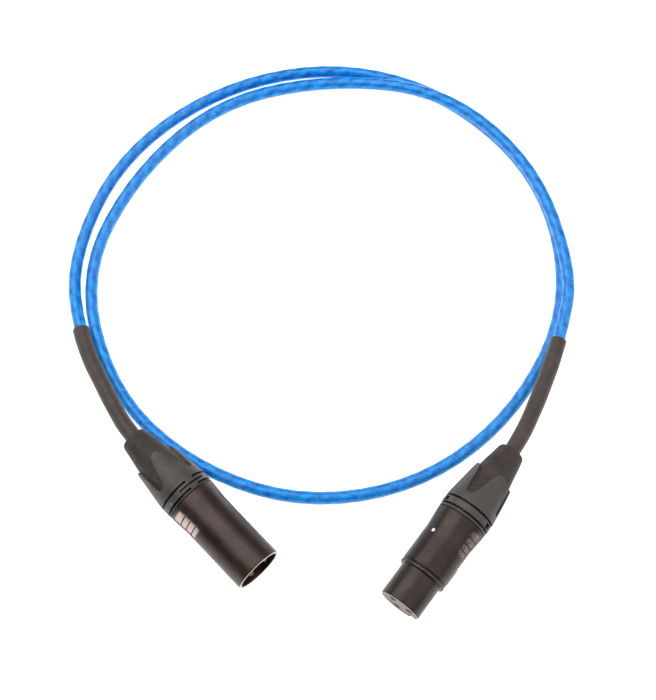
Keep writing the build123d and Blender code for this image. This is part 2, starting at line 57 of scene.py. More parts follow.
# ------------------------------------------------------------------ camera
camera_data = bpy.data.cameras.new("camera")
camera_data.sensor_width = 36
camera_data.lens = 70.5
camera_data.clip_end = 20
camera = bpy.data.objects.new("camera", camera_data)
camera.location = (0.00315, -0.21175, 0.5051)
look_at = Vector((0.00315, -0.01115, 0))
look = look_at - camera.location
camera.rotation_euler = look.to_track_quat("-Z", "Y").to_euler()
scene.collection.objects.link(camera)
scene.camera = camera


# ------------------------------------------------------------------ connector frames
class Connector:
    """Frame of a connector. Z points out of the mouth, X is level and back runs from the front.

    seam is where the shell ends, key the angle of the keyway or latch, ring_shift moves the coding
    ring forward, grip_turn turns the grips, and the last number sets the painted highlight on their
    ribs. Sizes are in millimetres and angles in degrees.
    """

    def __init__(self, name, mouth, seam, key, ring_shift, grip_turn, rib_highlight):
        self.name, self.seam, self.key, self.ring_shift = name, seam, key, ring_shift
        self.grip_turn, self.rib_highlight = grip_turn, rib_highlight
        self.o = Vector(mount[mouth]["pos_m"])
        self.z = Vector(mount[mouth]["axis"]).normalized()
        self.x = Vector((-self.z.y, self.z.x, 0)).normalized()
        self.y = self.z.cross(self.x)

    def at(self, r, angle, back):
        """Place in the scene from a radius, an angle and a distance behind the front."""
        a = radians(angle)
        return self.o + (self.x * cos(a) + self.y * sin(a)) * (r * MM) - self.z * (back * MM)

    def xy(self, x, y, back):
        """Place in the scene from two offsets and a distance behind the front."""
        return self.o + (self.x * x + self.y * y - self.z * back) * MM


PLUG = Connector("plug", "plug_mouth", 36.4, 55, 0.45, 6, 0.86)
SOCKET = Connector("socket", "socket_nose", 38.8, -42, 0.15, -14, 0.5)

# ------------------------------------------------------------------ the cable's line
INSIDE = 5.0       # cable's cut end behind the seam
STRAIGHT = 29      # first and last runs, inside the boots
ROUTE = [
    (-0.0815, -0.0335, 0.0085), (-0.0945, -0.008, 0.0055), (-0.101, 0.027, 0.0025),
    (-0.0835, 0.075, 0.0025), (-0.0425, 0.1085, 0.0025), (0.0075, 0.1195, 0.0025),
    (0.055, 0.1045, 0.0025), (0.0925, 0.064, 0.0025), (0.1003, 0.0085, 0.0025),
    (0.0767, -0.0377, 0.0025), (0.0395, -0.067, 0.0025), (-0.0065, -0.075, 0.0025),
    (-0.0494, -0.0599, 0.0025), (-0.0813, -0.0295, 0.0025), (-0.096, 0.02, 0.0025),
    (-0.0772, 0.066, 0.0025), (-0.043, 0.101, 0.0025), (0.0035, 0.1125, 0.0025),
    (0.0515, 0.104, 0.0075), (0.0875, 0.0685, 0.0082), (0.1008, 0.019, 0.0086),
    (0.0943, -0.0085, 0.0088), (0.0848, -0.0333, 0.0103),
]
plug_end, socket_end = PLUG.seam + INSIDE, SOCKET.seam + INSIDE
route = [PLUG.xy(0, 0, plug_end), PLUG.xy(-0.6, 0, plug_end + STRAIGHT)]
route += [Vector(p) for p in ROUTE]
route += [SOCKET.xy(0.8, 0, socket_end + STRAIGHT), SOCKET.xy(0, 0, socket_end)]


def nurbs_line(name, points, resolution):
    """Points along the NURBS curve that the given points steer."""
    curve = bpy.data.curves.new(name, "CURVE")
    curve.dimensions = "3D"
    curve.resolution_u = resolution
    spline = curve.splines.new("NURBS")
    spline.points.add(len(points) - 1)
    for point, place in zip(spline.points, points):
        point.co = (*place, 1)
    spline.order_u = 3
    spline.use_endpoint_u = True
    holder = bpy.data.objects.new(name, curve)
    scene.collection.objects.link(holder)
    bpy.context.view_layer.update()
    mesh = bpy.data.meshes.new_from_object(holder)
    line = np.array([v.co[:] for v in mesh.vertices])
    bpy.data.objects.remove(holder)
    bpy.data.meshes.remove(mesh)
    return line


class Line:
    """A centreline with its running length and frames that don't twist."""

    def __init__(self, points):
        step = np.linalg.norm(np.diff(points, axis=0), axis=1)
        self.p = points[np.insert(step > 1e-7, 0, True)]
        step = np.linalg.norm(np.diff(self.p, axis=0), axis=1)
        self.s = np.insert(np.cumsum(step), 0, 0)
        t = np.gradient(self.p, axis=0)
        self.t = t / np.linalg.norm(t, axis=1)[:, None]
        side = np.cross([0, 0, 1], self.t)
        self.a = side / np.linalg.norm(side, axis=1)[:, None]
        self.length = self.s[-1]

    def at(self, s):
        """Centre and the two directions across the line at lengths s."""
        def pick(table):
            return np.stack([np.interp(s, self.s, table[:, k]) for k in range(3)], -1)
        t = pick(self.t)
        t /= np.linalg.norm(t, axis=-1)[..., None]
        a = pick(self.a)
        a -= t * (a * t).sum(-1)[..., None]
        a /= np.linalg.norm(a, axis=-1)[..., None]
        return pick(self.p), a, np.cross(t, a)


line = Line(nurbs_line("cable_line", route, 48))
print("cable line", round(line.length, 4))


# ------------------------------------------------------------------ mesh helpers
def grid_piece(name, points, uv, wear=None, smooth=45):
    """Mesh from a grid of points: rows run along, columns run round and close on themselves."""
    rows, cols = points.shape[:2]
    mesh = bpy.data.meshes.new(name)
    verts = points.reshape(-1, 3)
    i = np.arange(rows - 1)[:, None] * cols
    j = np.arange(cols)[None, :]
    k = (j + 1) % cols
    faces = np.stack([i + j, i + k, i + cols + k, i + cols + j], -1).reshape(-1, 4)
    mesh.from_pydata([tuple(v) for v in verts], [], [tuple(f) for f in faces])
    layer = mesh.uv_layers.new(name="UVMap")
    flat = uv.reshape(-1, 2)[faces.reshape(-1)].copy()
    last = (np.arange(len(faces)) % cols) == cols - 1
    quad = flat.reshape(-1, 4, 2)
    quad[last, 1:3, 0] += 1
    layer.data.foreach_set("uv", flat.reshape(-1).astype(np.float32))
    # these values hold real wear, painted shade below zero in grooves and gaps, and a painted
    # highlight on the grip ribs
    worn_and_painted_light = mesh.attributes.new("wear", "FLOAT", "POINT")
    if wear is not None:
        worn_and_painted_light.data.foreach_set("value", wear.reshape(-1).astype(np.float32))
    piece = bpy.data.objects.new(name, mesh)
    scene.collection.objects.link(piece)
    mesh.shade_smooth()
    if smooth:
        mesh.set_sharp_from_angle(angle=radians(smooth))
    return piece


def tube(along, radius, around):
    """Grid and UVs of a tube round the cable's line. radius(s, angle) is in metres."""
    centre, a, b = line.at(along)
    turn = np.linspace(0, 2 * pi, around, endpoint=False)
    r = radius(along[:, None], turn[None, :])
    cosine, sine = np.cos(turn)[None, :, None], np.sin(turn)[None, :, None]
    out = a[:, None, :] * cosine + b[:, None, :] * sine
    points = centre[:, None, :] + out * r[..., None]
    uv = np.stack(np.broadcast_arrays(turn[None, :] / (2 * pi), along[:, None]), -1)
    return points, uv


def box_step(value, low, high, soft):
    """1 between low and high, 0 outside, with slopes one soft wide."""
    up = np.clip((value - low) / soft + 0.5, 0, 1)
    down = np.clip((high - value) / soft + 0.5, 0, 1)
    edge = up * down
    return edge * edge * (3 - 2 * edge)


def samples(low, high, step, edges, soft):
    """Positions from low to high, closer together at the edges of cuts."""
    out = set(np.arange(low, high, step).tolist() + [high])
    for edge in edges:
        out.update(edge + k * soft for k in (-1, -0.5, -0.25, 0, 0.25, 0.5, 1))
    kept = [low]
    for value in sorted(v for v in out if low < v <= high):
        if value - kept[-1] > soft * 0.2:
            kept.append(value)
    return np.array(kept)


def rounded(corners, steps=5):
    """Profile of (radius, back, rounding) corners, each one rounded off."""
    points = []
    for n, (r, back, fillet) in enumerate(corners):
        here = np.array([r, back])
        if not fillet or n in (0, len(corners) - 1):
            points.append(here)
            continue
        ends = []
        for corner in (corners[n - 1], corners[n + 1]):
            way = np.array(corner[:2]) - here
            run = np.linalg.norm(way)
            ends.append(here + way / run * min(fillet, run * 0.5))
        start, end = ends
        for t in np.linspace(0, 1, steps):
            points.append((1 - t) ** 2 * start + 2 * t * (1 - t) * here + t ** 2 * end)
    return np.array(points)


def refined(profile, step):
    """The same profile with no stretch longer than step."""
    out = [profile[0]]
    for a, b in zip(profile, profile[1:]):
        n = max(1, int(np.ceil(np.linalg.norm(b - a) / step)))
        out += [a + (b - a) * k / n for k in range(1, n + 1)]
    return np.array(out)


def turned(name, where, profile, angles, offset=None, wear=None, smooth=45):
    """Turned piece about a connector's axis. offset(back, angle) moves the surface outwards."""
    r = np.repeat(profile[:, 0][:, None], len(angles), 1)
    back = np.repeat(profile[:, 1][:, None], len(angles), 1)
    turn = np.repeat(angles[None, :], len(profile), 0)
    if offset is not None:
        r = r + offset(r, back, turn)
    a = np.radians(turn)
    o, x, y, z = (np.array(v) for v in (where.o, where.x, where.y, where.z))
    points = o + MM * (
        (r * np.cos(a))[..., None] * x + (r * np.sin(a))[..., None] * y - back[..., None] * z
    )
    uv = np.stack([turn / 360, back * MM], -1)
    worn_and_painted_light = wear(r, back, turn) if wear else None
    return grid_piece(name, points, uv, wear=worn_and_painted_light, smooth=smooth)


def away(angle, middle):
    """Signed difference of two angles in degrees."""
    return (angle - middle + 180) % 360 - 180


def finish_piece(piece, slot, material, *replaced):
    """Gives a piece its material, on the lead, in place of the CAD nodes it stands for. slot is not
    used.
    """
    piece.data.materials.clear()
    piece.data.materials.append(material)
    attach(piece, "lead")
    if replaced:
        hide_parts(*replaced)
    return piece


def cut(piece, cutter):
    """Takes the cutter out of the piece and removes the cutter."""
    modifier = piece.modifiers.new("cut", "BOOLEAN")
    modifier.object = cutter
    modifier.operation = "DIFFERENCE"
    modifier.solver = "EXACT"
    bm = bmesh.new()
    bm.from_mesh(piece.data)
    bmesh.ops.remove_doubles(bm, verts=bm.verts, dist=0.000002)
    bm.to_mesh(piece.data)
    bm.free()
    bpy.context.view_layer.update()
    depsgraph = bpy.context.evaluated_depsgraph_get()
    mesh = bpy.data.meshes.new_from_object(piece.evaluated_get(depsgraph))
    piece.modifiers.clear()
    old = piece.data
    piece.data = mesh
    bpy.data.meshes.remove(old)
    bpy.data.objects.remove(cutter)
    mesh.set_sharp_from_angle(angle=radians(35))


def radial_block(name, where, angle, back, length, width, inner, outer, rounding=0.4):
    """Block with rounded corners that stands out radially, used for cuts and ribs."""
    bm = bmesh.new()
    out = where.x * cos(radians(angle)) + where.y * sin(radians(angle))
    across = where.z.cross(out)
    corners = {}
    for i, r in enumerate((inner, outer)):
        for j, w in enumerate((-width / 2, width / 2)):
            for k, b in enumerate((back, back + length)):
                place = where.o + (out * r + across * w - where.z * b) * MM
                corners[i, j, k] = bm.verts.new(place)
    for quad in (
        ((0, 0, 0), (0, 0, 1), (0, 1, 1), (0, 1, 0)), ((1, 0, 0), (1, 1, 0), (1, 1, 1), (1, 0, 1)),
        ((0, 0, 0), (1, 0, 0), (1, 0, 1), (0, 0, 1)), ((0, 1, 0), (0, 1, 1), (1, 1, 1), (1, 1, 0)),
        ((0, 0, 0), (0, 1, 0), (1, 1, 0), (1, 0, 0)), ((0, 0, 1), (1, 0, 1), (1, 1, 1), (0, 1, 1)),
    ):
        bm.faces.new([corners[c] for c in quad])
    bmesh.ops.recalc_face_normals(bm, faces=bm.faces)
    if rounding:
        bmesh.ops.bevel(
            bm, geom=list(bm.edges), offset=rounding * MM, segments=3, profile=0.6, affect="EDGES"
        )
    mesh = bpy.data.meshes.new(name)
    bm.to_mesh(mesh)
    bm.free()
    piece = bpy.data.objects.new(name, mesh)
    scene.collection.objects.link(piece)
    return piece


# ------------------------------------------------------------------ materials
# pale bare metal, also used as the painted highlight on the grip ribs
BARE_METAL_AND_HIGHLIGHT = (0.66, 0.54, 0.50)
# painted shade: near black put at the bottom of grooves and gaps
GROOVE_SHADE = (0.004, 0.003, 0.003)
PAINT_CHIP = (0.93, 0.91, 0.88)
BLUE_SPECK = (0.10, 0.33, 0.45)
CORES, LAY = 3.0, 0.024      # cores in the cable, and the length of one twist in metres


class Finish:
    """A procedural material under construction, on object coordinates in metres."""

    def __init__(self, name):
        self.m = bpy.data.materials.new(name)
        self.m.use_nodes = True
        self.tree = self.m.node_tree
        self.shader = self.tree.nodes["Principled BSDF"]
        self.coords = self.node("ShaderNodeTexCoord")

    def node(self, kind, **settings):
        made = self.tree.nodes.new(kind)
        for key, value in settings.items():
            setattr(made, key, value)
        return made

    def link(self, a, b):
        self.tree.links.new(a, b)

    def put(self, **values):
        for key, value in values.items():
            self.shader.inputs[key.replace("_", " ")].default_value = value
        return self

    def noise(self, scale, detail=3.0, roughness=0.55):
        made = self.node("ShaderNodeTexNoise")
        made.inputs["Scale"].default_value = scale
        made.inputs["Detail"].default_value = detail
        made.inputs["Roughness"].default_value = roughness
        self.link(self.coords.outputs["Object"], made.inputs["Vector"])
        return made.outputs["Fac"]

    def spread(self, value, low, high, from_low=0.3, from_high=0.7):
        """Maps a value from one range to another. The default input range suits noise."""
        made = self.node("ShaderNodeMapRange")
        for key, number in (
            ("From Min", from_low), ("From Max", from_high), ("To Min", low), ("To Max", high),
        ):
            made.inputs[key].default_value = number
        self.link(value, made.inputs["Value"])
        return made.outputs["Result"]

    def mix(self, fac, a, b):
        made = self.node("ShaderNodeMix", data_type="RGBA")
        self.link(fac, made.inputs[0])
        for socket, value in ((made.inputs[6], a), (made.inputs[7], b)):
            if isinstance(value, tuple):
                socket.default_value = (*value, 1)
            else:
                self.link(value, socket)
        return made.outputs[2]

    def math(self, operation, a, b):
        made = self.node("ShaderNodeMath", operation=operation)
        for socket, value in zip(made.inputs, (a, b)):
            if isinstance(value, (int, float)):
                socket.default_value = value
            else:
                self.link(value, socket)
        return made.outputs[0]

    def attribute(self, name):
        return self.node("ShaderNodeAttribute", attribute_name=name).outputs["Fac"]

    def groove_shade(self, colour):
        """Painted shade: darkens a colour to near black at the bottom of grooves and gaps, where
        the wear attribute is below zero.
        """
        depth = self.spread(self.attribute("wear"), 1.0, 0.0, -0.8, 0.0)
        return self.mix(depth, colour, GROOVE_SHADE)

    def base(self, colour):
        self.link(colour, self.shader.inputs["Base Color"])
        return self

    def rough(self, value):
        self.link(value, self.shader.inputs["Roughness"])
        return self

    def bump(self, *layers):
        """Stacks bumps, each one a height, a distance in metres and a strength."""
        normal = None
        for height, distance, strength in layers:
            made = self.node("ShaderNodeBump")
            made.inputs["Distance"].default_value = distance
            made.inputs["Strength"].default_value = strength
            self.link(height, made.inputs["Height"])
            if normal is not None:
                self.link(normal, made.inputs["Normal"])
            normal = made.outputs["Normal"]
        self.link(normal, self.shader.inputs["Normal"])
        return self


def cable_finish():
    """Mottled blue jacket under which the twisted cores just show."""
    f = Finish("cable_blue")
    uv = f.node("ShaderNodeUVMap", uv_map="UVMap").outputs["UV"]
    parts = f.node("ShaderNodeSeparateXYZ")
    f.link(uv, parts.inputs[0])
    helix = f.math("ADD", f.math("MULTIPLY", parts.outputs[0], CORES),
                   f.math("MULTIPLY", parts.outputs[1], CORES / LAY))
    lay = f.math("SINE", f.math("MULTIPLY", helix, 2 * pi), 0.0)
    cores = f.spread(lay, 0.0, 1.0, -1.0, 1.0)
    mottled = f.noise(480, 4, 0.65)
    shade = f.math("ADD", f.math("MULTIPLY", cores, 0.16), f.math("MULTIPLY", mottled, 0.92))
    colour = f.mix(f.spread(shade, 0, 1, 0.34, 0.74), (0.0, 0.118, 0.47), (0.0, 0.330, 0.90))
    f.base(colour).rough(f.spread(f.noise(900, 3), 0.26, 0.42))
    f.put(Coat_Weight=0.14, Coat_Roughness=0.12, Subsurface_Weight=0.1, Subsurface_Scale=0.0012,
          Specular_IOR_Level=0.4)
    f.shader.inputs["Subsurface Radius"].default_value = (0.1, 0.5, 1.0)
    f.bump((mottled, 0.00022, 0.5), (f.noise(2600, 2), 0.00003, 0.5))
    return f.m


def sleeve_finish():
    f = Finish("sleeve_heat_shrink")
    cloud = f.spread(f.noise(260, 4), 0, 1)
    f.base(f.mix(cloud, (0.040, 0.027, 0.022), (0.064, 0.045, 0.038)))
    f.rough(f.spread(f.noise(700, 3), 0.50, 0.66))
    f.put(Specular_IOR_Level=0.42, Sheen_Weight=0.08, Sheen_Roughness=0.5)
    f.bump((f.noise(520, 4, 0.6), 0.00012, 0.4), (f.noise(4200, 2), 0.00003, 0.5))
    return f.m


def chip(f, place, radius):
    """Mask of a small ragged chip in the finish, at a place in the scene."""
    gap = f.node("ShaderNodeVectorMath", operation="DISTANCE")
    f.link(f.coords.outputs["Object"], gap.inputs[0])
    gap.inputs[1].default_value = place
    ragged = f.math("MULTIPLY", f.noise(1800, 2), radius * 1.2)
    edge = f.math("ADD", gap.outputs["Value"], ragged)
    return f.spread(edge, 1, 0, radius * 1.4, radius * 1.75)


def shell_finish(name, low, high, *chips):
    """Dark plating rubbed to bare metal on edges; painted highlight on grip ribs, painted shade in
    grooves.
    """
    f = Finish(name)
    cloud = f.spread(f.noise(90, 5, 0.6), 0, 1)
    dark = f.mix(cloud, low, high)
    # worn edges, and the painted highlight on the grip ribs, turn pale in patches
    patchy = f.math("MULTIPLY", f.noise(1500, 4, 0.7), 0.6)
    edge = f.spread(f.math("ADD", f.attribute("wear"), patchy), 0, 1, 0.72, 1.35)
    colour = f.mix(edge, dark, BARE_METAL_AND_HIGHLIGHT)
    metal = f.spread(f.noise(60, 2), 0.78, 0.88)
    for place, radius in chips:
        mask = chip(f, place, radius)
        colour = f.mix(mask, colour, PAINT_CHIP)
        metal = f.math("MULTIPLY", metal, f.math("SUBTRACT", 1.0, mask))
    f.base(f.groove_shade(colour))
    f.link(metal, f.shader.inputs["Metallic"])
    f.rough(f.spread(f.noise(320, 5, 0.65), 0.36, 0.50))
    f.put(Specular_IOR_Level=0.5, Coat_Weight=0.12, Coat_Roughness=0.25)
    f.bump((f.noise(1500, 2, 0.5), 0.000012, 0.5), (f.noise(230, 3), 0.00006, 0.2))
    return f.m


def plastic_finish(name, low, high, rough, grain, bump, speck=None):
    """Moulded plastic or rubber with a fine grain, paler where it is worn, with painted shade in
    its grooves.
    """
    f = Finish(name)
    cloud = f.spread(f.noise(130, 5, 0.6), 0, 1)
    edge = f.spread(f.attribute("wear"), 0, 0.55, 0.4, 1.0)
    lighter = tuple(min(1.0, c * 2.0) for c in high)
    colour = f.mix(edge, f.mix(cloud, low, high), lighter)
    if speck:
        colour = f.mix(chip(f, *speck), colour, BLUE_SPECK)
    f.base(f.groove_shade(colour))
    f.rough(f.spread(f.noise(600, 4), *rough))
    f.put(Specular_IOR_Level=0.4)
    f.bump((f.noise(grain, 3, 0.6), bump, 0.6), (f.noise(210, 3), 0.00005, 0.3))
    return f.m


def metal_finish(name, low, high, rough):
    f = Finish(name)
    f.base(f.mix(f.spread(f.noise(260, 4), 0, 1), low, high))
    f.rough(f.spread(f.noise(800, 4), *rough))
    f.put(Metallic=1.0)
    f.bump((f.noise(1400, 3), 0.00002, 0.4))
    return f.m


BLUE = cable_finish()
SHRINK = sleeve_finish()
PLUG_METAL = shell_finish("plug_black_plating", (0.042, 0.029, 0.025), (0.070, 0.049, 0.043))
# painted shade: the socket's copy of the plating is darker than the plug's
SOCKET_METAL = shell_finish(
    "socket_black_plating", (0.030, 0.021, 0.018), (0.048, 0.035, 0.031),
    (SOCKET.at(9.35, 128, 28.6), 0.00072),
)
BUSH = plastic_finish(
    "bushing_grey", (0.046, 0.040, 0.037), (0.068, 0.060, 0.056), (0.44, 0.58), 2600, 0.00004,
)
RING_LOOK = (0.048, 0.041, 0.037), (0.072, 0.063, 0.058), (0.38, 0.52), 2200, 0.00003
RINGS = plastic_finish("ring_grey", *RING_LOOK)
SPECKED = plastic_finish("ring_grey_specked", *RING_LOOK, (PLUG.at(10.25, 136, 39.0), 0.0004))
BOOT = plastic_finish(
    "boot_rubber", (0.022, 0.0145, 0.0115), (0.046, 0.0325, 0.027), (0.55, 0.75), 2300, 0.00012,
)
INSULATOR = plastic_finish(
    "insulator", (0.095, 0.070, 0.058), (0.145, 0.112, 0.095), (0.38, 0.52), 2600, 0.00003,
)
CHUCK = plastic_finish(
    "chuck_black", (0.015, 0.015, 0.015), (0.03, 0.03, 0.03), (0.4, 0.55), 2600, 0.00003,
)
WIRE = plastic_finish(
    "wire_grey", (0.35, 0.35, 0.35), (0.5, 0.5, 0.5), (0.4, 0.5), 2600, 0.00002,
)
# painted shade: pins and socket contacts get dark colours for the shade deep in the mouth and
# entries
GOLD = metal_finish("contact_gold", (0.13, 0.088, 0.036), (0.20, 0.14, 0.06), (0.38, 0.52))
SOCKETS = metal_finish("contact_dull", (0.040, 0.028, 0.012), (0.070, 0.048, 0.022), (0.45, 0.60))
LATCH = metal_finish("latch_dark", (0.09, 0.075, 0.068), (0.14, 0.12, 0.11), (0.28, 0.42))
STEEL = metal_finish("spring_bright", (0.45, 0.44, 0.42), (0.6, 0.59, 0.57), (0.25, 0.38))

# ------------------------------------------------------------------ cable and sleeves
CABLE_R, LOBE = 2.46, 0.035
SLEEVE_R, SLEEVE_LIP_R, SLEEVE_BORE_R = 3.2, 3.12, 2.62
SLEEVE_START = 0.011                            # from the cable's cut end, in metres
PLUG_SLEEVE_END, SOCKET_SLEEVE_END = 0.0815, 0.0793


def jacket(s, turn):
    """Radius of the cable, slightly lobed over its twisted cores."""
    lobes = np.cos(CORES * (turn - 2 * pi * s / LAY))
    return (CABLE_R + LOBE * lobes) * MM


points, uv = tube(np.linspace(0, line.length, 1100), jacket, 48)
cable = grid_piece("cable_tube", points, uv, smooth=None)
finish_piece(cable, "cable_pvc", BLUE, "cable_jacket")


def sleeve(name, start, end, node):
    """Heat-shrink sleeve, drawn slightly uneven, with a crisp cut end that shows its wall."""
    rows = 92
    share = np.concatenate([np.linspace(0, 0.992, rows), [0.998, 1.0, 1.0, 0.97]])
    outside = np.full(rows + 1, SLEEVE_R)
    lip = [SLEEVE_LIP_R, SLEEVE_BORE_R, SLEEVE_BORE_R - 0.02]
    scale = np.concatenate([outside, lip])[:, None]

    def radius(s, turn):
        uneven = 0.035 * np.sin(s * 420 + 2.0 * np.sin(turn)) + 0.03 * np.cos(2 * turn + s * 90)
        return (scale + uneven * (scale > SLEEVE_BORE_R + 0.1)) * MM

    points, uv = tube(start + (end - start) * share, radius, 40)
    piece = grid_piece(name, points, uv, smooth=50)
    return finish_piece(piece, "heat_shrink", SHRINK, node)


plug_sleeve = sleeve("plug_sleeve_tube", SLEEVE_START, PLUG_SLEEVE_END, "plug_sleeve")
socket_sleeve = sleeve(
    "socket_sleeve_tube", line.length - SLEEVE_START, line.length - SOCKET_SLEEVE_END,
    "socket_sleeve",
)

# ------------------------------------------------------------------ sizes shared by both rears
FLANGE_W, RING_SPACE = 1.3, 4.2
FLANGE_R, RING_R, BUSHING_R, TIP_R = 10.05, 10.25, 10.35, 8.25
NECK_R = 9.0                           # between flange and coding ring
FINGER_LEN, WALL = 16.0, 1.2
RING_END = FLANGE_W + RING_SPACE       # these four are distances behind the seam
FINGER_END = RING_END + FINGER_LEN
FLOOR = RING_END + 3.2                 # where the windows between the fingers start
TAIL_END = RING_END + 28.1


def finger_r(after):
    """Outside radius of the bushing and its fingers, at a distance behind the seam."""
    return BUSHING_R + (TIP_R - BUSHING_R) / FINGER_LEN * (after - RING_END)


def collar(where):
    """Flange between the shell and the coding ring, with a gap at the seam painted dark as shade.
    """
    s = where.seam
    front = s + FLANGE_W - where.ring_shift
    gap_r = FLANGE_R - 0.45
    profile = refined(rounded([
        (8.6, s + 0.05, 0), (gap_r, s + 0.05, 0), (gap_r, s + 0.32, 0), (FLANGE_R, s + 0.36, 0.1),
        (FLANGE_R, front - 0.1, 0.1), (NECK_R, front - 0.05, 0), (NECK_R, front + 0.35, 0),
    ]), 0.4)

    def wear(r, back, turn):
        # painted shade in the gap at the seam
        return np.where(r < FLANGE_R - 0.3, -1.0, 0.0)

    angles = np.linspace(0, 360, 160, endpoint=False)
    return turned(f"{where.name}_flange", where, profile, angles, wear=wear)


def ring_piece(where, gap, notches):
    """Coding ring: two bounding grooves that stop at the gap, a slot along it, and two notches."""
    front = where.seam + FLANGE_W - where.ring_shift
    rear = where.seam + RING_END - where.ring_shift
    groove, slot_half, notch_half = 0.78, 0.34, 0.9
    groove_depth, slot_depth, notch_depth = 1.25, 0.8, 1.1
    middle = (front + rear) / 2
    half_gap, slot_arc, notch_arc = 10.5, 33.0, 8.0
    edges_s = [front, front + groove, rear - groove, rear, middle - slot_half, middle + slot_half,
               middle - notch_half, middle + notch_half]
    edges_a = [gap - half_gap, gap + half_gap, gap - slot_arc, gap + slot_arc]
    for notch in notches:
        edges_a += [notch - notch_arc, notch + notch_arc]
    angles = samples(0, 358.5, 1.8, [a % 360 for a in edges_a], 0.9)
    rows = samples(front - 0.3, where.seam + RING_END + 0.3, 0.35, edges_s, 0.1)
    profile = np.stack([np.full(len(rows), RING_R), rows], -1)

    def depth_at(back, turn):
        at_gap = box_step(away(turn, gap), -half_gap, half_gap, 1.5)
        grooves = box_step(back, front, front + groove, 0.1)
        grooves += box_step(back, rear - groove, rear, 0.1)
        depth = groove_depth * grooves * (1 - at_gap)
        slot = box_step(back, middle - slot_half, middle + slot_half, 0.1)
        slot = slot * box_step(away(turn, gap), -slot_arc, slot_arc, 1.5)
        depth = np.maximum(depth, slot_depth * slot)
        for notch in notches:
            hole = box_step(back, middle - notch_half, middle + notch_half, 0.25)
            hole = hole * box_step(away(turn, notch), -notch_arc, notch_arc, 1.6)
            depth = np.maximum(depth, notch_depth * hole)
        return depth

    def offset(r, back, turn):
        front_band = box_step(back, front - 1, front, 0.1)
        return -depth_at(back, turn) - (RING_R - FLANGE_R) * front_band

    def wear(r, back, turn):
        depth = depth_at(back, turn)
        lips = np.exp(-((np.abs(back - front - groove) - 0.12) / 0.09) ** 2)
        lips += np.exp(-((np.abs(back - rear + groove) - 0.12) / 0.09) ** 2)
        # painted shade at the bottom of the grooves, slot and notches, and paler lips beside the
        # grooves
        return np.where(depth > 0.25, -np.clip(depth * 1.6, 0, 1), 0.45 * lips)

    return turned(f"{where.name}_ring_band", where, profile, angles, offset, wear, smooth=60)


def finger_half(after):
    """Half-width of a finger in millimetres at a distance behind the seam."""
    t = after - FLOOR
    table_t = [0, 0.1, 0.3, 0.7, 1.4, 2.6, 5.0, 7.4, 9.6, 11.2, 12.0, 12.5, 12.73, 12.8]
    table_w = [7.6, 7.0, 6.6, 6.15, 5.75, 5.3, 4.55, 3.8, 3.05, 2.4, 1.85, 1.15, 0.55, 0.0]
    return np.interp(t, table_t, table_w)


def bushing_piece(where, first):
    """Bushing with four fingers, one grid that narrows into each finger and is given a wall.

    first is the angle of the first finger.
    """
    s = where.seam
    band = [RING_END - 0.02, RING_END + 0.25, RING_END + 0.6, RING_END + 1.05, RING_END + 1.2,
            RING_END + 2.0, FLOOR - 0.3]
    taper = [0, 0.05, 0.1, 0.2, 0.3, 0.5, 0.7, 1.0, 1.4, 2.0, 2.6, 3.8, 5.0, 6.2, 7.4, 8.5, 9.6,
             10.4, 11.2, 11.6, 12.0, 12.25, 12.5, 12.62, 12.73]
    rows = np.array(band + [FLOOR + t for t in taper])
    across = np.linspace(-1, 1, 25)
    bm = bmesh.new()
    worn_and_painted_light = bm.verts.layers.float.new("wear")
    for number in range(4):
        middle = first + 90 * number
        grid = []
        for after in rows:
            r = finger_r(after)
            half = 45.0 if after < FLOOR + 1e-6 else np.degrees(finger_half(after) / r)
            half = min(45.0, half)
            if after < RING_END + 0.1:
                step = -0.22
            elif after < RING_END + 1.1:
                step = -0.05
            else:
                step = 0
            grid.append([
                bm.verts.new(where.at(r + step, middle + half * u, s + after)) for u in across
            ])
            edge = 0.5 if abs(after - RING_END - 1.05) < 0.1 else 0.0
            for vert in grid[-1]:
                vert[worn_and_painted_light] = edge
        for lower, upper in zip(grid, grid[1:]):
            for k in range(len(across) - 1):
                bm.faces.new((lower[k], lower[k + 1], upper[k + 1], upper[k]))
        tip = bm.verts.new(where.at(finger_r(FINGER_END), middle, s + FINGER_END))
        for k in range(len(across) - 1):
            bm.faces.new((grid[-1][k], grid[-1][k + 1], tip))
    bmesh.ops.remove_doubles(bm, verts=bm.verts, dist=0.00002)
    bmesh.ops.recalc_face_normals(bm, faces=bm.faces)
    mesh = bpy.data.meshes.new(f"{where.name}_bushing_skin")
    bm.to_mesh(mesh)
    bm.free()
    piece = bpy.data.objects.new(f"{where.name}_bushing_skin", mesh)
    scene.collection.objects.link(piece)
    first_face = mesh.polygons[0]
    reach = Vector(first_face.center) - where.o
    outward = Vector(first_face.normal).dot(reach - where.z * reach.dot(where.z))
    solid = piece.modifiers.new("wall", "SOLIDIFY")
    solid.thickness = WALL * MM
    solid.offset = -1 if outward > 0 else 1
    rim = piece.modifiers.new("rim", "BEVEL")
    rim.width = 0.28 * MM
    rim.segments = 4
    rim.limit_method = "ANGLE"
    rim.angle_limit = radians(50)
    mesh.shade_smooth()
    return piece


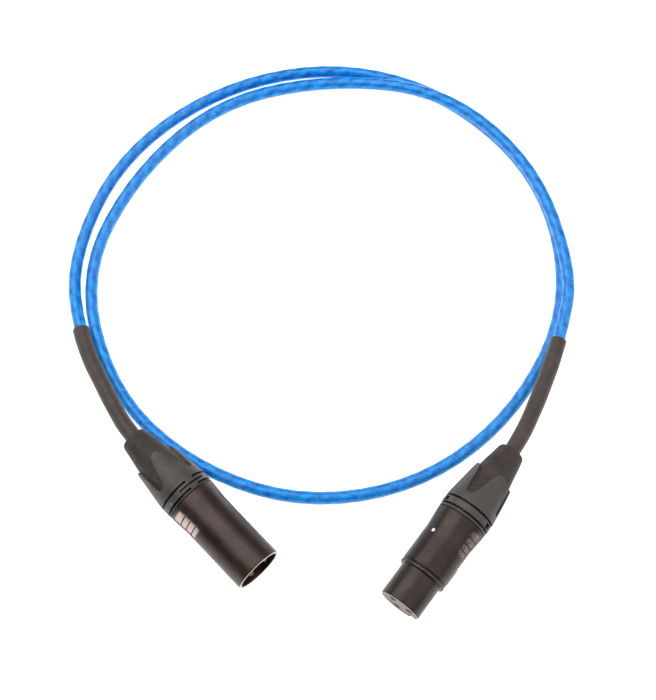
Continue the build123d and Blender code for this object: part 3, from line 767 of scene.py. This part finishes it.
def boot_piece(where):
    """Soft boot: fills the windows, tapers to the cable and ends in a rounded lip."""
    s = where.seam
    start_r, end_r = finger_r(FLOOR), finger_r(FINGER_END)
    profile = refined(rounded([
        (start_r - 1.4, s + FLOOR - 0.4, 0), (start_r - 0.7, s + FLOOR - 0.3, 0.2),
        (end_r - 1.05, s + FINGER_END, 1.5), (5.15, s + TAIL_END - 0.2, 1.9),
        (3.75, s + TAIL_END, 0.25), (3.5, s + TAIL_END - 0.55, 0.2), (3.2, s + TAIL_END - 0.5, 0),
    ], 8), 0.6)
    angles = np.linspace(0, 360, 120, endpoint=False)

    def offset(r, back, turn):
        after = back - s
        ripple = 0.03 * np.sin(np.radians(turn) * 3 + after * 0.7)
        return ripple * (r > 5)

    return turned(f"{where.name}_boot_skin", where, profile, angles, offset, smooth=60)


# ------------------------------------------------------------------ shells
BORE_R, SEAM_R, SEAT_R = 8.5, 10.1, 8.6
CONE = 8                               # length over which a shell widens towards the seam
GRIP_HALF_ARC, GRIP_FADE = 19, 14      # degrees
GRIP_MIDDLE, GRIP_PITCH = 7.1, 2.7     # grooves, ahead of the seam and apart
PAD_DEPTH, GROOVE_DEPTH = 0.16, 0.32
SHELL_ANGLES = np.linspace(0, 360, 216, endpoint=False)


def grip_rows(profile, where):
    """A profile with closer rows where the grips are."""
    outside = [n for n, (r, back) in enumerate(profile) if r > 9 and back > where.seam - 12.5]
    first, last = outside[0], outside[-1]
    fine = refined(profile[first:last + 1], 0.075)
    return np.concatenate([profile[:first], fine, profile[last + 1:]])


def grip_parts(where, back, turn):
    """How far a place is in the grip's pad, and in one of its three grooves."""
    pad, groove = np.zeros_like(back), np.zeros_like(back)
    for side in (where.key + 90 + where.grip_turn, where.key - 90 + where.grip_turn):
        reach = box_step(away(turn, side), -GRIP_HALF_ARC, GRIP_HALF_ARC, GRIP_FADE)
        pad += reach * box_step(back, where.seam - 12.0, where.seam - 1.2, 1.6)
        for row in (-1, 0, 1):
            past = back - where.seam + GRIP_MIDDLE - row * GRIP_PITCH
            groove += reach * np.exp(-(past / 0.2) ** 2)
    return pad, groove


def grips(where, radius_at):
    """Three shallow grooves on each flank, in a pad that lies a little lower."""
    def offset(r, back, turn):
        pad, groove = grip_parts(where, back, turn)
        return -(PAD_DEPTH * pad + GROOVE_DEPTH * groove) * (r > radius_at(back) - 0.2)
    return offset


def shell_wear_and_light(where, front_rim, more=None):
    """Bright worn rim, a painted highlight on the grip ribs and painted shade at the groove
    bottoms.
    """
    def wear(r, back, turn):
        pad, groove = grip_parts(where, back, turn)
        # painted highlight: the ribs between the grooves are given the pale colour
        ribs = where.rib_highlight * pad
        worn_and_painted_light = front_rim(r, back) + ribs * (groove < 0.3) + (more(r, back) if more else 0)
        return np.where(groove > 0.45, -groove, np.clip(worn_and_painted_light, 0, 1))
    return wear


def flared(barrel, rise, cone):
    """Outside radius of a shell that widens behind cone, as a function of back."""
    def radius_at(back):
        return barrel + np.clip(back - cone, 0, None) * rise / CONE
    return radius_at


def plug_shell():
    """Plug's shell with its mouth, the lip behind it, the keyway's rib and the catch's recess."""
    p = PLUG
    cone = p.seam - CONE
    barrel, mouth_r, lip_r, depth = 9.5, 8.4, 7.7, 14
    outer = rounded([
        (8.42, 0.35, 0.2), (8.45, 0.02, 0.15), (9.42, 0.0, 0.22), (barrel, 0.9, 0),
        (barrel, cone, 1.5), (SEAM_R, p.seam - 0.1, 0.15), (SEAT_R, p.seam, 0),
        (BORE_R, p.seam, 0),
    ], 5)
    inner = rounded([
        (BORE_R, p.seam, 0), (BORE_R, depth + 1, 0), (lip_r, depth + 1, 0), (lip_r, depth, 0.1),
        (mouth_r, depth, 0.1), (mouth_r, 0.5, 0),
    ], 3)
    profile = grip_rows(refined(np.concatenate([inner, outer]), 0.24), p)

    def rim(r, back):
        return np.exp(-(back / 0.16) ** 2) * (r > 9.2) + 0.75 * np.exp(-(back / 0.12) ** 2)

    piece = turned("plug_shell_skin", p, profile, SHELL_ANGLES,
                   grips(p, flared(barrel, 0.6, cone)), shell_wear_and_light(p, rim))
    rib = radial_block("plug_key_rib", p, p.key, 10.5, 3.5, 2.6, 7.55, 8.9, 0.2)
    finish_piece(rib, "shell_black_metal", PLUG_METAL)
    catch = radial_block("catch", p, p.key, 5.2, 3.8, 4.0, 7.4, 9.1, 0.3)
    cut(piece, catch)
    return finish_piece(piece, "shell_black_metal", PLUG_METAL, "plug_shell")


def socket_shell():
    """Socket's shell with its nose, raised ring, latch slot and button window."""
    p = SOCKET
    nose, cone = 13.6, p.seam - CONE
    barrel, nose_r, nose_bore, step_back = 9.35, 8.2, 7.5, 14.3
    inner = [(BORE_R, p.seam), (BORE_R, step_back), (nose_bore, step_back), (nose_bore, 0.4)]
    outer = rounded([
        (nose_bore, 0.4, 0), (7.52, 0.03, 0.12), (8.1, 0.0, 0.25), (nose_r, 0.6, 0),
        (nose_r, nose - 0.1, 0.2), (9.42, nose + 0.05, 0.2), (9.5, nose + 0.55, 0.2),
        (9.42, nose + 1.15, 0.2), (8.95, nose + 1.3, 0.15), (8.95, nose + 1.62, 0.12),
        (barrel, nose + 1.75, 0.15), (barrel, cone, 1.5), (SEAM_R, p.seam - 0.1, 0.15),
        (SEAT_R, p.seam, 0), (BORE_R, p.seam, 0),
    ], 5)
    profile = grip_rows(refined(np.concatenate([inner, outer]), 0.24), p)

    def rim(r, back):
        return np.exp(-(back / 0.14) ** 2) * 0.8

    def ring(r, back):
        return np.exp(-((back - nose - 0.5) / 0.35) ** 2) * (r > 9.35) * 0.5

    piece = turned("socket_shell_skin", p, profile, SHELL_ANGLES,
                   grips(p, flared(barrel, 0.75, cone)), shell_wear_and_light(p, rim, ring))
    cut(piece, radial_block("slot", p, p.key, -1, 16.3, 3.6, 6.0, 8.32, 0))
    cut(piece, radial_block("window", p, p.key, 16.15, 8.7, 6.7, 7.0, 12.5, 0.5))
    return finish_piece(piece, "shell_black_metal", SOCKET_METAL, "socket_shell")


def socket_face():
    """Front of the socket's insulator: raised edge, three entries and the latch's channel."""
    p = SOCKET
    entry_r = 1.4 * MM
    profile = refined(rounded([
        (0.02, 0.16, 0), (5.9, 0.16, 0.1), (6.1, 0.08, 0.1), (6.9, 0.08, 0.2), (7.3, 0.12, 0.1),
        (7.35, 0.28, 0), (0.02, 0.28, 0), (0.02, 0.16, 0),
    ], 4), 0.5)
    piece = turned("socket_face", p, profile, np.linspace(0, 360, 120, endpoint=False))
    for number in (1, 2, 3):
        contact = Vector(mount[f"socket_contact_{number}"]["pos_m"])
        bm = bmesh.new()
        bmesh.ops.create_cone(bm, cap_ends=True, segments=40, radius1=entry_r, radius2=entry_r,
                              depth=3 * MM)
        turn = p.z.to_track_quat("Z", "Y").to_matrix().to_4x4()
        turn.translation = contact + p.z * (p.o - contact).dot(p.z)
        bmesh.ops.transform(bm, matrix=turn, verts=bm.verts)
        mesh = bpy.data.meshes.new("entry")
        bm.to_mesh(mesh)
        bm.free()
        cutter = bpy.data.objects.new("entry", mesh)
        scene.collection.objects.link(cutter)
        cut(piece, cutter)
    cut(piece, radial_block("channel", p, p.key, -1, 4, 3.6, 6.6, 8.4, 0))
    return finish_piece(piece, "insulator", INSULATOR)


def leaf_spring():
    """Bowed leaf under the latch's button."""
    p = SOCKET
    a = radians(p.key)
    out, side = p.x * cos(a) + p.y * sin(a), p.y * cos(a) - p.x * sin(a)
    middle, half, low, crown, thick, wide = 20.5, 4.0, 5.36, 6.64, 0.25, 1.2
    backs = np.linspace(-half, half, 49)
    under = low + (crown - low) * (1 - (backs / half) ** 2)
    section = rounded([(-wide, 0.1, 0), (-wide, 0, 0.07), (wide, 0, 0.07), (wide, thick, 0.07),
                       (-wide, thick, 0.07), (-wide, 0.1, 0)], 4)[:-1]
    points = np.array([[p.o + (side * x + out * (r + y) - p.z * (middle + back)) * MM
                        for x, y in section] for back, r in zip(backs, under)])
    round_it = np.arange(len(section)) / len(section)
    uv = np.stack(np.broadcast_arrays(round_it[None, :], (backs * MM)[:, None]), -1)
    piece = grid_piece("latch_leaf", points, uv)
    bm = bmesh.new()
    bm.from_mesh(piece.data)
    bmesh.ops.holes_fill(bm, edges=bm.edges, sides=0)
    bmesh.ops.recalc_face_normals(bm, faces=bm.faces)
    bm.to_mesh(piece.data)
    bm.free()
    finish_piece(piece, "spring_steel", STEEL, "socket_latch_spring")
    anchor = p.at(low, p.key, middle)
    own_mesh(piece)


plug_shell()
socket_shell()
socket_face()
leaf_spring()
for where, first, gap, notches in (
    (PLUG, 85, 71, (188, 314)), (SOCKET, 64, 269, (152, 26)),
):
    name = where.name
    flange = collar(where)
    finish_piece(flange, "bushing_plastic", BUSH)
    band = ring_piece(where, gap, notches)
    ring_look = SPECKED if where is PLUG else RINGS
    finish_piece(band, "ring_plastic", ring_look, f"{name}_coding_ring")
    skin = bushing_piece(where, first)
    finish_piece(skin, "bushing_plastic", BUSH, f"{name}_bushing")
    soft = boot_piece(where)
    finish_piece(soft, "boot_rubber", BOOT, f"{name}_boot")

# ------------------------------------------------------------------ CAD nodes that stay
KEPT = {
    "insert": INSULATOR, "ground_clip": STEEL, "chuck": CHUCK, "latch": LATCH, "latch_pin": STEEL,
}
for number in (1, 2, 3):
    KEPT.update({f"pin_{number}": GOLD, f"contact_{number}": SOCKETS, f"wire_{number}": WIRE})
for name, obj in nodes.items():
    part = name.split("_", 1)[1]
    if part in KEPT and not obj.hide_render:
        obj.data.materials.clear()
        obj.data.materials.append(KEPT[part])
        if part in ("insert", "latch"):
            edge = obj.modifiers.new("edge", "BEVEL")
            edge.width = 0.18 * MM
            edge.segments = 3
            edge.limit_method = "ANGLE"
            edge.angle_limit = radians(40)
            edge.use_clamp_overlap = True

# ------------------------------------------------------------------ floor and light
reach = 3
floor_mesh = bpy.data.meshes.new("floor")
floor_mesh.from_pydata(
    [(-reach, -reach, 0), (reach, -reach, 0), (reach, reach, 0), (-reach, reach, 0)], [],
    [(0, 1, 2, 3)],
)
floor = bpy.data.objects.new("floor", floor_mesh)
floor.location.z = -0.0001
scene.collection.objects.link(floor)
paper = Finish("floor_paper")
paper.put(Base_Color=(0.9, 0.9, 0.88, 1), Roughness=0.8, Emission_Color=(1, 1, 0.985, 1),
          Emission_Strength=0.85)
floor_mesh.materials.append(paper.m)

# the sky is bright at the horizon and nearly dark above, so it lights flanks and not tops
world = bpy.data.worlds.new("world")
world.use_nodes = True
sky = world.node_tree
sky_coords = sky.nodes.new("ShaderNodeTexCoord")
sky_parts = sky.nodes.new("ShaderNodeSeparateXYZ")
sky_range = sky.nodes.new("ShaderNodeMapRange")
for key, value in (("From Min", 0.02), ("From Max", 0.22), ("To Min", 0.5), ("To Max", 0.02)):
    sky_range.inputs[key].default_value = value
sky.nodes["Background"].inputs["Color"].default_value = (1.0, 0.995, 0.985, 1)
sky.links.new(sky_coords.outputs["Generated"], sky_parts.inputs[0])
sky.links.new(sky_parts.outputs["Z"], sky_range.inputs["Value"])
sky.links.new(sky_range.outputs["Result"], sky.nodes["Background"].inputs["Strength"])
scene.world = world


def area(name, place, side, power):
    """Square soft light that points at the origin."""
    data = bpy.data.lights.new(name, "AREA")
    data.size = side
    data.energy = power
    lamp = bpy.data.objects.new(name, data)
    lamp.location = place
    lamp.rotation_euler = (-lamp.location).to_track_quat("-Z", "Y").to_euler()
    scene.collection.objects.link(lamp)


area("key", (-0.45, 0.3, 0.95), 1.3, 15)
area("fill", (0.75, -0.1, 0.85), 1.4, 9)
scene.view_settings.view_transform = "Standard"
